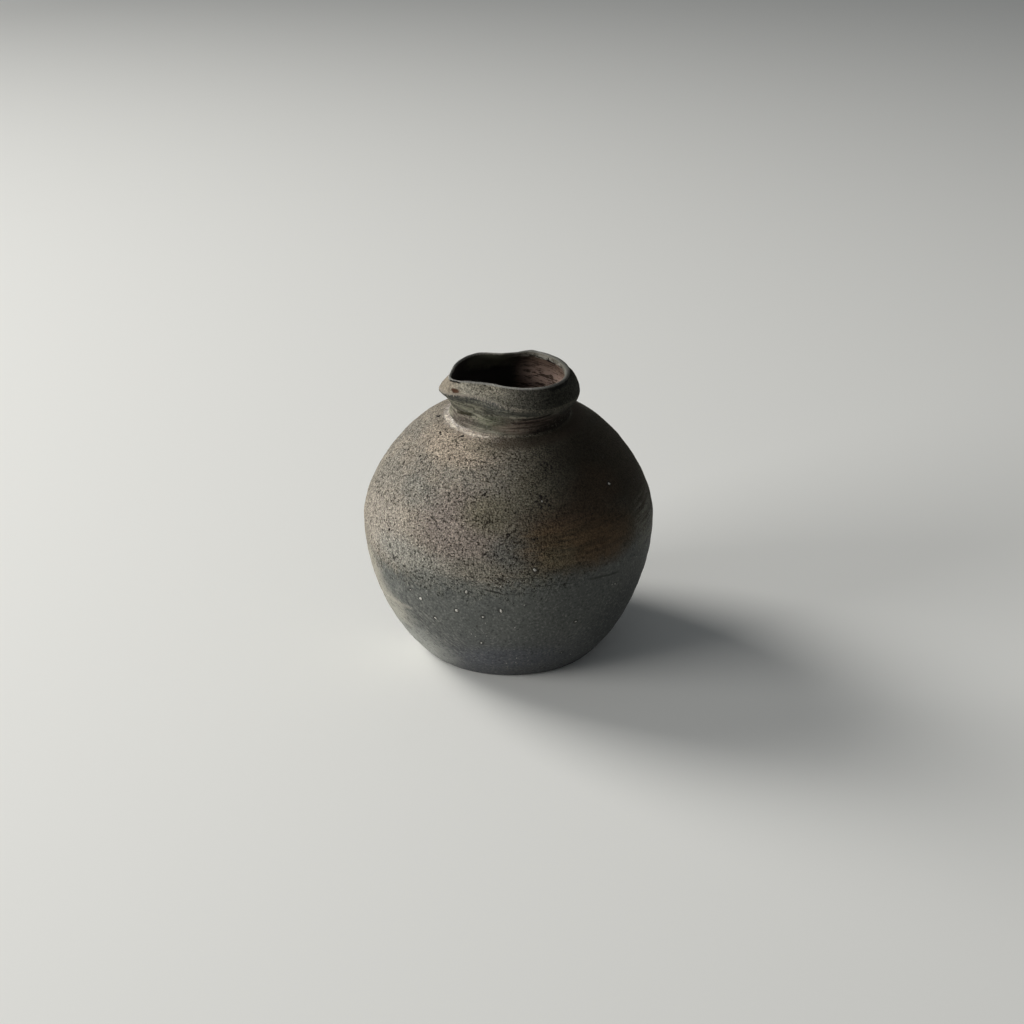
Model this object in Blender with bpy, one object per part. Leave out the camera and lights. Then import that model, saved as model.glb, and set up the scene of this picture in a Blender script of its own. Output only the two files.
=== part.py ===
"""A small wood-fired stoneware jar with a pinched mouth and a folded collar.

The wall is one piece of fired clay: a flat cut foot, a round belly, a sloping shoulder, a short neck
and a collar whose mouth was pressed in by the potter's fingers. White feldspar grains and dark kiln
cinders are separate small pieces, each seated in its own pocket in the wall. Units are metres and +Z is
up. The foot stands on Z = 0 and the front of the jar faces -Y. Angles are in degrees, seen from above:
0 is the right, 90 the back, 180 the left and -90 the front.
"""
import math

import bmesh
import bpy
from mathutils import Matrix, Vector

# Foot and belly
foot_radius = 0.0382
foot_round = 0.0009
belly_radius = 0.0575
belly_height = 0.0535

# Shoulder, one smooth curve from the belly up to the crease where the neck begins
shoulder_rise = 0.0155
shoulder_reach = 0.0150
shoulder_drop = 0.0017
crease_radius = 0.0240
crease_climb = 0.0430
crease_height = belly_height + crease_climb

# Neck, ridge of the collar, and lip, each set off from the one below, before the fingers pressed them
waist_inset = 0.0011
waist_climb = 0.0030
waist_rise = 0.0022
waist_radius = crease_radius - waist_inset
waist_height = crease_height + waist_climb
ridge_reach = 0.0040
ridge_climb = 0.0066
roll_under = 0.0026
roll_over = 0.0028
ridge_radius = waist_radius + ridge_reach
ridge_height = waist_height + ridge_climb
lip_inset = 0.0041
lip_climb = 0.0079
lip_radius = ridge_radius - lip_inset
lip_height = ridge_height + lip_climb
lip_flare = 0.0012
lip_fall = 0.0010
lip_round = 0.0004

# Thickness of the clay; the lip is thickest at the back right
floor_wall = 0.0060
low_wall = 0.0066
belly_wall = 0.0046
shoulder_wall = 0.0040
neck_wall = 0.0034
ridge_wall = 0.0046
floor_corner = 0.0050
lip_width = 0.0014
lip_swell = 0.0011
swell_angle = 20.0
swell_spread = 80.0

# The mouth is pressed in, hard at the front left and lightly at the back
front_press_angle = -118.0
front_press_left = 52.0
front_press_right = 95.0
front_press_depth = 0.0073
back_press_angle = 97.0
back_press_spread = 36.0
back_press_depth = 0.0048

# The same press moves the ridge in and up, and the neck below it in
fold_press_angle = -126.0
fold_press_left = 58.0
fold_press_right = 70.0
fold_press_depth = 0.0070
fold_rise = 0.0024
waist_press_angle = -138.0
waist_press_spread = 60.0
waist_press_depth = 0.0012

# The left corner of the mouth is drawn out, over the tip of the fold
corner_angle = -164.0
corner_spread = 22.0
corner_pull = 0.0018
corner_dip = 0.0006
tip_angle = 182.0
tip_spread = 44.0
tip_pull = 0.0012

# The collar is a sharp fold on the left, which fades into a soft roll on the right
sharp_angle = -170.0
sharp_spread = 95.0
sharp_plateau_share = 0.55
fold_under = 0.0026
fold_under_drop = 0.0012
fold_hollow = 0.0022
fold_hollow_rise = 0.0040
fold_over = 0.0014
fold_lip = 0.0030

# The belly leans a little to the left, and a paddle left a flat low on the right
belly_lean = 0.0006
neck_shift = 0.0004
flat_angle = -6.0
flat_spread = 42.0
flat_height = 0.0240
flat_reach = 0.0200
flat_depth = 0.0007

# Grains of feldspar and crumbs of cinder, each at an angle and at a share of the crease's height
grain_size = 0.0019
grain_places_shares = (
    (-131.5, 0.432), (-126.5, 0.408), (-121.0, 0.330), (-110.5, 0.395), (-106.0, 0.494), (-101.5, 0.239),
    (-100.0, 0.383), (-93.0, 0.417), (-80.0, 0.597), (-64.5, 0.145), (-62.0, 0.320), (-36.0, 0.823),
)
cinder_size = 0.0022
cinder_places_shares = ((-75.0, 0.842), (-71.5, 0.815), (-69.0, 0.942), (-66.0, 0.912))

# A lump is a flattened chip, mostly sunk in its pocket; its faces lie nearer its middle than its corners
chip_shares = (1.0, 0.82, 0.66)
chip_face_share = 0.795
sunk_share = 0.22
pocket_gap = 0.0003

# Handles of the curves, as shares of the way to the next mark and of the handle on the other side
first_handle_share = 0.4
under_waist_share = 0.5

# Facets
columns = 84
low_rings = 9
shoulder_rings = 11
neck_rings = 3
under_rings = 4
collar_rings = 5
throat_rings = 2
inner_rings = 5
corner_rings = 3
crisp_angle = 50.0


def hump(value, centre, spread):
    """A smooth hump: 1 at its centre, and 0 from one spread away."""
    away = abs(value - centre)
    return 0.5 + 0.5 * math.cos(math.pi * min(away / spread, 1.0))


def round_hump(angle, centre, before, after=None):
    """The same hump for angles, which go round the jar, with its own spread on each side."""
    turned = (angle - centre + 180.0) % 360.0 - 180.0
    return hump(turned, 0.0, before if turned < 0.0 or after is None else after)


def curve(start, leave, arrive, end, steps):
    """Points of a cubic curve after its start, with the handles leave and arrive."""
    points = []
    for step in range(1, steps + 1):
        t = step / steps
        s = 1.0 - t
        early = s ** 3 * start + 3.0 * s * s * t * leave
        late = 3.0 * s * t * t * arrive + t ** 3 * end
        points.append(early + late)
    return points


def bowl_reach(radius, height, low_radius, low_height):
    """How far below its widest a quarter ellipse closes, if it passes (low_radius, low_height)."""
    return (height - low_height) / math.sqrt(1.0 - (low_radius / radius) ** 2)


def bowl(radius, height, low_radius, low_height, steps):
    """Points up a quarter ellipse, from (low_radius, low_height) to its widest at height."""
    reach = bowl_reach(radius, height, low_radius, low_height)
    lowest = math.asin((height - low_height) / reach)
    angles = [lowest * (1.0 - step / steps) for step in range(steps + 1)]
    return [Vector((radius * math.cos(a), height - reach * math.sin(a))) for a in angles]


def collar_marks(angle):
    """Waist, ridge and lip at one angle round the jar, as (radius, height), after the presses."""
    pinch = round_hump(angle, waist_press_angle, waist_press_spread)
    waist = Vector((waist_radius - waist_press_depth * pinch, waist_height))
    fold = round_hump(angle, fold_press_angle, fold_press_left, fold_press_right)
    tip = round_hump(angle, tip_angle, tip_spread)
    ridge = Vector((ridge_radius - fold_press_depth * fold + tip_pull * tip,
                    ridge_height + fold_rise * fold))
    front = round_hump(angle, front_press_angle, front_press_left, front_press_right)
    back = round_hump(angle, back_press_angle, back_press_spread)
    corner = round_hump(angle, corner_angle, corner_spread)
    lip = Vector((lip_radius - front_press_depth * front - back_press_depth * back + corner_pull * corner,
                  lip_height - corner_dip * corner))
    return waist, ridge, lip


def outer_outline(angle):
    """The outside of the wall from the foot to the lip, as (radius, height)."""
    outline = [Vector((foot_radius - foot_round, 0.0))]
    outline += bowl(belly_radius, belly_height, foot_radius, foot_round, low_rings)
    belly = outline[-1]
    crease = Vector((crease_radius, crease_height))
    outline += curve(belly, belly + Vector((0.0, shoulder_rise)),
                     crease + Vector((shoulder_reach, -shoulder_drop)), crease, shoulder_rings)
    waist, ridge, lip = collar_marks(angle)
    sharp = min(round_hump(angle, sharp_angle, sharp_spread) / sharp_plateau_share, 1.0)
    pressed = round_hump(angle, fold_press_angle, fold_press_left, fold_press_right)
    over_waist = Vector((0.0, waist_rise)).lerp(Vector((-fold_hollow, fold_hollow_rise)), pressed * sharp)
    under_ridge = Vector((0.0, -roll_under)).lerp(Vector((-fold_under, -fold_under_drop)), sharp)
    over_ridge = Vector((0.0, roll_over)).lerp((lip - ridge).normalized() * fold_over, sharp)
    under_lip = Vector((lip_flare, -lip_fall)).lerp(Vector((0.0, -fold_lip)), sharp)
    under_waist = waist - over_waist * under_waist_share
    outline += curve(crease, crease.lerp(waist, first_handle_share), under_waist, waist, neck_rings)
    outline += curve(waist, waist + over_waist, ridge + under_ridge, ridge, under_rings)
    outline += curve(ridge, ridge + over_ridge, lip + under_lip, lip, collar_rings)
    return outline


def inner_outline(angle):
    """The inside of the wall from the lip down to the floor, as (radius, height)."""
    waist, ridge, lip = collar_marks(angle)
    width = lip_width + lip_swell * round_hump(angle, swell_angle, swell_spread)
    edge = lip - Vector((width, lip_round))
    hollow = ridge - Vector((ridge_wall, 0.0))
    throat = waist - Vector((neck_wall, 0.0))
    belly = Vector((belly_radius - belly_wall, belly_height))
    outline = [lip + Vector((-0.5 * width, lip_round)), edge]
    outline += curve(edge, edge.lerp(hollow, first_handle_share),
                     hollow + Vector((0.0, roll_over)), hollow, throat_rings)
    outline += curve(hollow, hollow - Vector((0.0, roll_under)),
                     throat + Vector((0.0, waist_rise)), throat, throat_rings)
    below = Vector((crease_radius + shoulder_reach, crease_height - shoulder_drop - shoulder_wall))
    outline += curve(throat, below, belly + Vector((0.0, shoulder_rise)), belly, inner_rings)
    corner_depth = belly_height - floor_wall - floor_corner
    sunk = corner_depth / bowl_reach(belly_radius, belly_height, foot_radius, foot_round)
    corner = Vector((belly_radius * math.sqrt(1.0 - sunk * sunk) - low_wall, floor_wall))
    above_corner = corner + Vector((0.0, floor_corner))
    low = bowl(belly.x, belly.y, above_corner.x, above_corner.y, inner_rings)
    outline += reversed(low[:-1])
    outline += curve(above_corner, corner, corner, corner - Vector((floor_corner, 0.0)), corner_rings)
    return outline


def place(angle, point):
    """A point of an outline in space, with the lean of the jar and the flat low on its right."""
    flat = round_hump(angle, flat_angle, flat_spread) * hump(point.y, flat_height, flat_reach)
    radius = point.x - flat_depth * flat
    climb = point.y / lip_height
    lean = neck_shift * climb - belly_lean * math.sin(math.pi * climb)
    turn = math.radians(angle)
    return Vector((radius * math.cos(turn) + lean, radius * math.sin(turn), point.y))


def wall_point(angle, height):
    """The outside of the wall at an angle and a height, and the way it faces there."""
    outline = [place(angle, point) for point in outer_outline(angle)]
    for low, high in zip(outline, outline[1:]):
        if low.z <= height < high.z:
            break
    point = low.lerp(high, (height - low.z) / (high.z - low.z))
    turn = math.radians(angle)
    around = Vector((-math.sin(turn), math.cos(turn), 0.0))
    return point, around.cross(high - low).normalized()


def make_material(name, colour, roughness):
    material = bpy.data.materials.new(name)
    material.use_nodes = True
    shader = material.node_tree.nodes["Principled BSDF"]
    shader.inputs["Base Color"].default_value = (*colour, 1.0)
    shader.inputs["Roughness"].default_value = roughness
    shader.inputs["Metallic"].default_value = 0.0
    return material


def make_object(name, bm, material=None):
    mesh = bpy.data.meshes.new(name)
    bm.to_mesh(mesh)
    bm.free()
    if material:
        mesh.materials.append(material)
    made = bpy.data.objects.new(name, mesh)
    bpy.context.scene.collection.objects.link(made)
    return made


def make_wall():
    """Loft the wall through its outlines, one for each angle round the jar."""
    bm = bmesh.new()
    angles = [360.0 * column / columns for column in range(columns)]
    outlines = [outer_outline(angle) + inner_outline(angle) for angle in angles]
    rows = [[bm.verts.new(place(angle, point)) for point in outline]
            for angle, outline in zip(angles, outlines)]
    under = bm.verts.new((0.0, 0.0, 0.0))
    inside = bm.verts.new((0.0, 0.0, floor_wall))
    for row, following in zip(rows, rows[1:] + rows[:1]):
        for i in range(len(row) - 1):
            bm.faces.new((row[i], following[i], following[i + 1], row[i + 1]))
        bm.faces.new((under, following[0], row[0]))
        bm.faces.new((inside, row[-1], following[-1]))
    wall = make_object("jar_wall", bm, make_material("fired_clay", (0.165, 0.148, 0.130), 0.72))
    wall.data.shade_smooth()
    wall.data.set_sharp_from_angle(angle=math.radians(crisp_angle))
    return wall


def add_lump(bm, number, place_shares, size, gap):
    """One angular lump, sunk into the outside of the wall and turned its own way."""
    angle, climb = place_shares
    point, facing = wall_point(angle, climb * crease_height)
    centre = point - facing * (sunk_share * size)
    turn = Matrix.Rotation(number, 4, facing) @ Matrix.Rotation(angle, 4, "X")
    spread = [0.5 * size * share + gap / chip_face_share for share in chip_shares]
    form = Matrix.Translation(centre) @ turn @ Matrix.Diagonal((*spread, 1.0))
    bmesh.ops.create_icosphere(bm, subdivisions=1, radius=1.0, matrix=form)


def make_lumps(name, places_shares, size, material):
    for number, place_shares in enumerate(places_shares, 1):
        bm = bmesh.new()
        add_lump(bm, number, place_shares, size, 0.0)
        make_object(f"{name}_{number:02}", bm, material)


def cut_pockets(wall):
    """Cut the pockets that the grains and the cinders sit in."""
    bm = bmesh.new()
    for number, place_shares in enumerate(grain_places_shares, 1):
        add_lump(bm, number, place_shares, grain_size, pocket_gap)
    for number, place_shares in enumerate(cinder_places_shares, 1):
        add_lump(bm, number, place_shares, cinder_size, pocket_gap)
    cutter = make_object("pocket_cutter", bm)
    cutter.hide_render = True
    cutter.display_type = "WIRE"
    pockets = wall.modifiers.new("pockets", "BOOLEAN")
    pockets.operation = "DIFFERENCE"
    pockets.solver = "EXACT"
    pockets.object = cutter


def main():
    for old in list(bpy.data.objects):
        bpy.data.objects.remove(old, do_unlink=True)
    wall = make_wall()
    cut_pockets(wall)
    make_lumps("feldspar_grain", grain_places_shares, grain_size,
               make_material("feldspar", (0.78, 0.76, 0.70), 0.45))
    make_lumps("kiln_cinder", cinder_places_shares, cinder_size,
               make_material("cinder", (0.035, 0.028, 0.024), 0.60))


main()
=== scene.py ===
"""A small wood-fired stoneware jar, dressed for its picture: unglazed clay under a crust of kiln ash.

Lengths are metres, +Z is up, the jar's foot stands on Z = 0 and its front faces -Y. Colours are linear
light, not screen values. Places on the wall are given by angle, seen from above: 0 is the right, 90 the
back, 180 the left and -90 the front.
"""
import math
import random

import bmesh
import bpy
from mathutils import Matrix, Vector, noise
from mathutils.bvhtree import BVHTree


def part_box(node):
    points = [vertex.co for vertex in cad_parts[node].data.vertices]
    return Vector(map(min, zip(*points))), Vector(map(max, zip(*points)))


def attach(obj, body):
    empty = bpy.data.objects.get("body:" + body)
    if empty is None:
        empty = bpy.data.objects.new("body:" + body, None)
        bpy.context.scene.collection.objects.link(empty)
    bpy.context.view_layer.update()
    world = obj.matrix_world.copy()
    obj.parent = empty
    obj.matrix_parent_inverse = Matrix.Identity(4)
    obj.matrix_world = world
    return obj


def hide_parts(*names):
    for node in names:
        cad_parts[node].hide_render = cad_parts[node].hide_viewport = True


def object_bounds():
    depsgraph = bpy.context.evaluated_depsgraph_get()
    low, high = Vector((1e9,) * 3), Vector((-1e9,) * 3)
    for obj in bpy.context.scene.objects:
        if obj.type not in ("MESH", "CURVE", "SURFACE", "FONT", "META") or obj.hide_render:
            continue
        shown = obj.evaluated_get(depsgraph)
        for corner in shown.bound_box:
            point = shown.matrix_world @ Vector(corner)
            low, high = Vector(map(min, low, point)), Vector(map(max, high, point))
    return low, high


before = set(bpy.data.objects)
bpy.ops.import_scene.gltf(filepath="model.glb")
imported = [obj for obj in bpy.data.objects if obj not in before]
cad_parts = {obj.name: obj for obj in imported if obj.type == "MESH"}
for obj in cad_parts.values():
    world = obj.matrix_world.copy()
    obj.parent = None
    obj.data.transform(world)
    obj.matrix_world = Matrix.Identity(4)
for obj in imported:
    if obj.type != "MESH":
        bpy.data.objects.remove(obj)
cad_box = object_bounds()


# The studio
# A sheet of pale paper lies under the jar and runs back past the top of the picture. A window behind the
# left shoulder of the jar gives the main light, a pale wall on the left fills the front, and the room is dim.
camera_distance = 0.736
camera_tilt = math.radians(27.0)
camera_aim_height = 0.0532
camera_lens = 65.0
camera_sensor = 36.0
jar_axis_shift = 2.4 / 1024

camera = bpy.data.objects.new("camera", bpy.data.cameras.new("camera"))
bpy.context.scene.collection.objects.link(camera)
camera.data.lens = camera_lens
camera.data.sensor_width = camera_sensor
camera.data.shift_x = jar_axis_shift
camera.location = (0.0, -camera_distance * math.cos(camera_tilt),
                   camera_aim_height + camera_distance * math.sin(camera_tilt))
camera.rotation_euler = (math.radians(90.0) - camera_tilt, 0.0, 0.0)
bpy.context.scene.camera = camera
bpy.context.scene.view_settings.view_transform = "Standard"


def soft_box(name, azimuth, height, distance, size, spread, power, colour):
    """Hangs one square soft light that faces the jar from a side and height; angles are in degrees."""
    turn = Matrix.Rotation(math.radians(azimuth), 3, "Z") @ Matrix.Rotation(math.radians(-height), 3, "Y")
    towards = turn @ Vector((1.0, 0.0, 0.0))
    box = bpy.data.objects.new(name, bpy.data.lights.new(name, "AREA"))
    bpy.context.scene.collection.objects.link(box)
    box.data.size = size
    box.data.spread = math.radians(spread)
    box.data.energy = power
    box.data.color = colour
    box.location = towards * distance
    box.rotation_euler = towards.to_track_quat("Z", "Y").to_euler()


soft_box("window", azimuth=149.0, height=31.0, distance=2.5, size=1.17, spread=70.0, power=9.7,
         colour=(1.0, 0.985, 0.96))
soft_box("pale_wall", azimuth=200.0, height=13.0, distance=1.5, size=0.80, spread=180.0, power=22.0,
         colour=(1.0, 0.99, 0.97))


def put(tree, kind, inputs, **settings):
    """Adds a shader node. Each input is given as a value, or as the socket that feeds it."""
    made = tree.nodes.new(kind)
    for name, value in settings.items():
        setattr(made, name, value)
    for key, value in inputs.items():
        if isinstance(value, bpy.types.NodeSocket):
            tree.links.new(value, made.inputs[key])
        else:
            made.inputs[key].default_value = value
    return made


def work(tree, operation, first, second=0.0, third=0.0):
    """One step of arithmetic between sockets or numbers."""
    return put(tree, "ShaderNodeMath", {0: first, 1: second, 2: third}, operation=operation).outputs[0]


def ramp(tree, value, low, high, start=0.0, stop=1.0):
    """A smooth step from start, below low, to stop, above high."""
    step = put(tree, "ShaderNodeMapRange", {"Value": value, "From Min": low, "From Max": high,
                                            "To Min": start, "To Max": stop},
               interpolation_type="SMOOTHSTEP")
    return step.outputs["Result"]


def looked_at(tree):
    """1 for rays from the camera, off a shiny face or through glass, which show the background, else 0."""
    rays = put(tree, "ShaderNodeLightPath", {}).outputs
    share = rays["Is Camera Ray"]
    for kind in ("Is Glossy Ray", "Is Transmission Ray"):
        share = work(tree, "MAXIMUM", share, rays[kind])
    return share


def new_finish(name):
    """A new material, with its shader tree and its main shader."""
    finish = bpy.data.materials.new(name)
    finish.use_nodes = True
    return finish, finish.node_tree, finish.node_tree.nodes["Principled BSDF"]


room_light = 0.15
room_colour = (0.90, 0.95, 1.0, 1.0)
pale_background = (0.80, 0.81, 0.79, 1.0)

world = bpy.data.worlds.new("room")
bpy.context.scene.world = world
world.use_nodes = True
room = world.node_tree
lit = room.nodes["Background"]
lit.inputs["Color"].default_value = room_colour
lit.inputs["Strength"].default_value = room_light
seen = put(room, "ShaderNodeBackground", {"Color": pale_background})
swap = put(room, "ShaderNodeMixShader", {0: looked_at(room), 1: lit.outputs[0], 2: seen.outputs[0]})
room.links.new(swap.outputs[0], room.nodes["World Output"].inputs["Surface"])

# Past the top of the picture the camera sees the paper fade into the pale room. Towards the window it fades
# sooner, along the slanting left side of what the main picture shows, since the light is strongest there.
paper_size = 24.0
paper_colour = (0.80, 0.80, 0.77, 1.0)
paper_roughness = 0.9
fade_centre = (0.15, 0.45, 0.0)
fade_start, fade_end = 0.95, 1.60
leftward = (-1.0, -0.247, 0.0)
left_start, left_end = 0.24, 0.48

bpy.ops.object.select_all(action="DESELECT")
bpy.ops.mesh.primitive_plane_add(size=paper_size)
paper = bpy.context.object
paper.name = "paper"
paper_finish, sheet, paper_shader = new_finish("paper")
paper_shader.inputs["Base Color"].default_value = paper_colour
paper_shader.inputs["Roughness"].default_value = paper_roughness
paper_shader.inputs["Specular IOR Level"].default_value = 0.0
on_sheet = put(sheet, "ShaderNodeTexCoord", {}).outputs["Object"]
far = put(sheet, "ShaderNodeVectorMath", {0: on_sheet, 1: fade_centre}, operation="DISTANCE").outputs["Value"]
left = put(sheet, "ShaderNodeVectorMath", {0: on_sheet, 1: leftward},
           operation="DOT_PRODUCT").outputs["Value"]
faded = work(sheet, "MAXIMUM", ramp(sheet, far, fade_start, fade_end),
             ramp(sheet, left, left_start, left_end))
pale = put(sheet, "ShaderNodeEmission", {"Color": pale_background})
blend = put(sheet, "ShaderNodeMixShader", {0: work(sheet, "MULTIPLY", faded, looked_at(sheet)),
                                           1: paper_shader.outputs[0], 2: pale.outputs[0]})
sheet.links.new(blend.outputs[0], sheet.nodes["Material Output"].inputs["Surface"])
paper.data.materials.append(paper_finish)


# The wall
# One piece of thrown clay: foot, belly, shoulder, neck, folded collar and lip, turned on a wheel and pressed
# by hand. It takes the solid's own mesh, closes the pockets under the grains, smooths it and gives it the
# slight unevenness of handwork.
weld_reach = 2e-6
level_slack = 1e-4
pocket_slack = 0.0008
foot_margin = 0.0012
floor_margin = 0.006
inner_floor = 0.006
inner_floor_reach = 0.031
box_margin = 1e-5


def take_up(piece):
    """Makes one object the only one selected, and the active one."""
    bpy.ops.object.select_all(action="DESELECT")
    piece.select_set(True)
    bpy.context.view_layer.objects.active = piece


def copy_of_solid(name, node):
    """A new piece with a solid's mesh, its points merged, left in edit mode."""
    piece = bpy.data.objects.new(name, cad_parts[node].data.copy())
    bpy.context.scene.collection.objects.link(piece)
    piece.data.materials.clear()
    take_up(piece)
    bpy.ops.object.mode_set(mode="EDIT")
    bpy.ops.mesh.select_all(action="SELECT")
    bpy.ops.mesh.remove_doubles(threshold=weld_reach)
    return piece


def round_off(piece):
    """Subdivides the active piece twice, which smooths its form."""
    smoothing = piece.modifiers.new("smoothing", "SUBSURF")
    smoothing.levels = 2
    smoothing.render_levels = 2
    bpy.ops.object.modifier_apply(modifier=smoothing.name)


def shade_smooth(piece):
    """Shades every face of a piece smooth."""
    for face in piece.data.polygons:
        face.use_smooth = True


def keep_in_box(piece, gap_below):
    """Brings stray points back into the box that the solids fill, with a gap on its low sides."""
    for point in piece.data.vertices:
        for axis in range(3):
            lowest = cad_box[0][axis] + gap_below
            point.co[axis] = min(cad_box[1][axis] - box_margin, max(lowest, point.co[axis]))


def pick(piece, kind, wanted):
    """In edit mode, selects just the vertices or faces that pass a test."""
    bpy.ops.mesh.select_mode(type=kind)
    bpy.ops.mesh.select_all(action="DESELECT")
    shape = bmesh.from_edit_mesh(piece.data)
    for part in (shape.verts if kind == "VERT" else shape.faces):
        part.select_set(wanted(part))
    bmesh.update_edit_mesh(piece.data)


def lump_box(node):
    """The middle of a grain's or cinder's solid, and half its longest side."""
    low, high = (Vector(corner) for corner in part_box(node))
    return (low + high) / 2, max(high - low) / 2


lumps = {name: lump_box(name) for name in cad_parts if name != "jar_wall"}
wall = copy_of_solid("thrown_wall", "jar_wall")
pick(wall, "VERT", lambda point: any((point.co - middle).length < reach + pocket_slack
                                     for middle, reach in lumps.values()))
bpy.ops.mesh.delete(type="VERT")
bpy.ops.mesh.select_all(action="SELECT")
bpy.ops.mesh.fill_holes(sides=0)
for level, side, margin in ((0.0, -1, foot_margin), (inner_floor, 1, floor_margin)):
    pick(wall, "FACE", lambda face: face.normal.z * side > 0.999
         and abs(face.calc_center_median().z - level) < level_slack)
    bpy.ops.mesh.dissolve_faces()
    bpy.ops.mesh.inset(thickness=margin)
bpy.ops.mesh.select_all(action="SELECT")
bpy.ops.mesh.tris_convert_to_quads(face_threshold=math.radians(50.0), shape_threshold=math.radians(75.0))
bpy.ops.mesh.normals_make_consistent(inside=False)
bpy.ops.object.mode_set(mode="OBJECT")

# Each point keeps its ring: its place on the way from the inner floor up, over the lip and down to the foot.
neighbours = [[] for point in wall.data.vertices]
for edge in wall.data.edges:
    first, second = edge.vertices
    neighbours[first].append(second)
    neighbours[second].append(first)
front = [point.index for point in wall.data.vertices
         if abs(point.co.z - inner_floor) < level_slack and point.co.xy.length < inner_floor_reach]
ring_of = dict.fromkeys(front, 0)
while front:
    reached = []
    for index in front:
        for other in neighbours[index]:
            if other not in ring_of:
                ring_of[other] = ring_of[index] + 1
                reached.append(other)
    front = reached
rings = wall.data.attributes.new("ring", "FLOAT", "POINT")
for index, ring in ring_of.items():
    rings.data[index].value = ring
round_off(wall)

# Rings of the marks: the throat's foot, the lip's inner band and crest, the collar's ridge, waist and crease.
ring_throat, ring_band, ring_crest, ring_ridge, ring_waist, ring_crease = 14.0, 17.0, 19.0, 25.0, 29.0, 32.0

# Turning rings left by the fingers, as pitch and depth: on the body, in the throat and on the neck.
throwing_pitch, throwing_depth = 0.0068, 0.00006
throat_pitch, throat_depth = 0.0041, 0.00022
groove_pitch, groove_depth = 0.0012, 0.00016

# Unevenness all over a part, as depth and fineness: the dents of hands and fingers, and three sorts of grit.
hand_dents, finger_dents = (0.00016, 42.0), (0.00006, 160.0)
crust_grit, collar_grit, band_grit = (0.00007, 800.0), (0.00009, 700.0), (0.00012, 300.0)
crust_edge, crust_slope, crust_blend = 0.0545, 0.075, 0.006

# Single marks, each as its depth or rise, its centre and reach by height or ring, and its bearing and spread.
# The wiped line falls round the jar, and the crust's edge climbs to the right, each at its own rate.
wiped_line, wipe_fall, wipe_from = (-0.00022, 0.0486, 0.0011, -50.0, 16.0), 0.00014, -51.0
crust_lip, crust_climb = (0.00014, 0.0533, 0.0016, -70.0, 42.0), 0.05
neck_grooves = (groove_depth, ring_waist + 0.6, 2.2, -66.0, 46.0)
olive_hollow = (-0.0003, 0.1016, 0.0012, -146.0, 11.0)
crease_roll = (0.0004, ring_crease, 1.6, -95.0, 40.0)
corner_slit = (-0.00035, ring_crest + 1.9, 0.55, -161.0, 13.0)
lip_groove = (-0.0016, ring_crest + 2.0, 1.0, 6.0, 44.0)
band_swell = (0.00024, ring_band + 0.8, 0.9, 45.0, 75.0)
band_crack = (-0.00045, ring_band - 0.3, 0.4, 48.0, 62.0)
lip_waves = ((0.0002, 94.0, 10.0), (-0.00024, 80.0, 8.0), (0.0002, 67.0, 6.0))
lip_wave_reach = 2.6

# The inside hangs lower between the throat and the shoulder, so the clay is as thick there as elsewhere.
filling_depth, filling_ring, filling_reach = 0.0042, ring_throat - 0.45, 0.95


def hump(value, centre, reach):
    """1 at the centre, falling smoothly to 0 at the reach."""
    part = abs(value - centre) / reach
    return 0.0 if part >= 1.0 else (1.0 - part * part) ** 2


def turned(angle, centre, reach):
    """A hump round the jar, in degrees."""
    return hump((angle - centre + 180.0) % 360.0 - 180.0, 0.0, reach)


def mark(value, angle, rise, centre, reach, bearing, spread, shift=0.0):
    """A smooth dent or ridge round a centre, which may be shifted, and a bearing."""
    return rise * hump(value, centre + shift, reach) * turned(angle, bearing, spread)


def rough(place, depth, fineness):
    """Unevenness of a depth, with dents about 1 / fineness long."""
    return depth * noise.noise(place * fineness)


def wave(place, pitch, waver, fineness):
    """Rings at an even pitch up the wall, which waver as the hand did."""
    return math.sin(2.0 * math.pi * place.z / pitch + waver * noise.noise(place * fineness))


moves = []
for point, entry in zip(wall.data.vertices, wall.data.attributes["ring"].data):
    place, ring = point.co, entry.value
    angle = math.degrees(math.atan2(place.y, place.x))
    lift = rough(place, *hand_dents) + rough(place, *finger_dents)
    if ring > ring_crease + 1.0:
        crust_share = min(1.0, max(0.0, (place.z - crust_edge - crust_slope * place.x) / crust_blend))
        lift += crust_share * rough(place, *crust_grit)
        lift += throwing_depth * wave(place, throwing_pitch, 1.6, 22.0)
        lift += mark(place.z, angle, *wiped_line, shift=-wipe_fall * (angle - wipe_from))
        lift += mark(place.z, angle, *crust_lip, shift=crust_climb * place.x)
    elif ring > ring_ridge + 1.5:
        lift += mark(ring, angle, *neck_grooves) * wave(place, groove_pitch, 1.2, 60.0)
        lift += mark(place.z, angle, *olive_hollow) + mark(ring, angle, *crease_roll)
    elif ring > ring_crest + 1.0:
        lift += rough(place, *collar_grit)
        lift += mark(ring, angle, *corner_slit) + mark(ring, angle, *lip_groove)
    elif ring > ring_band:
        lift += rough(place, *band_grit) + mark(ring, angle, *band_swell)
    elif ring > ring_throat:
        broken = max(0.0, 0.5 + noise.noise(place * 230.0))
        lift += broken * mark(ring, angle, *band_crack)
        lift += 0.5 * throat_depth * wave(place, throat_pitch, 2.0, 50.0)
    elif ring > 1.0:
        lift += throat_depth * wave(place, throwing_pitch, 2.0, 30.0)
    step = sum(rise * turned(angle, bearing, spread) for rise, bearing, spread in lip_waves)
    step *= hump(ring, ring_crest, lip_wave_reach)
    step -= filling_depth * hump(ring, filling_ring, filling_reach)
    moves.append(point.normal * lift + Vector((0.0, 0.0, step)))
for point, move in zip(wall.data.vertices, moves):
    point.co += move
keep_in_box(wall, 0.0)
shade_smooth(wall)

wall_tree = BVHTree.FromPolygons([point.co for point in wall.data.vertices],
                                 [face.vertices[:] for face in wall.data.polygons])


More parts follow.
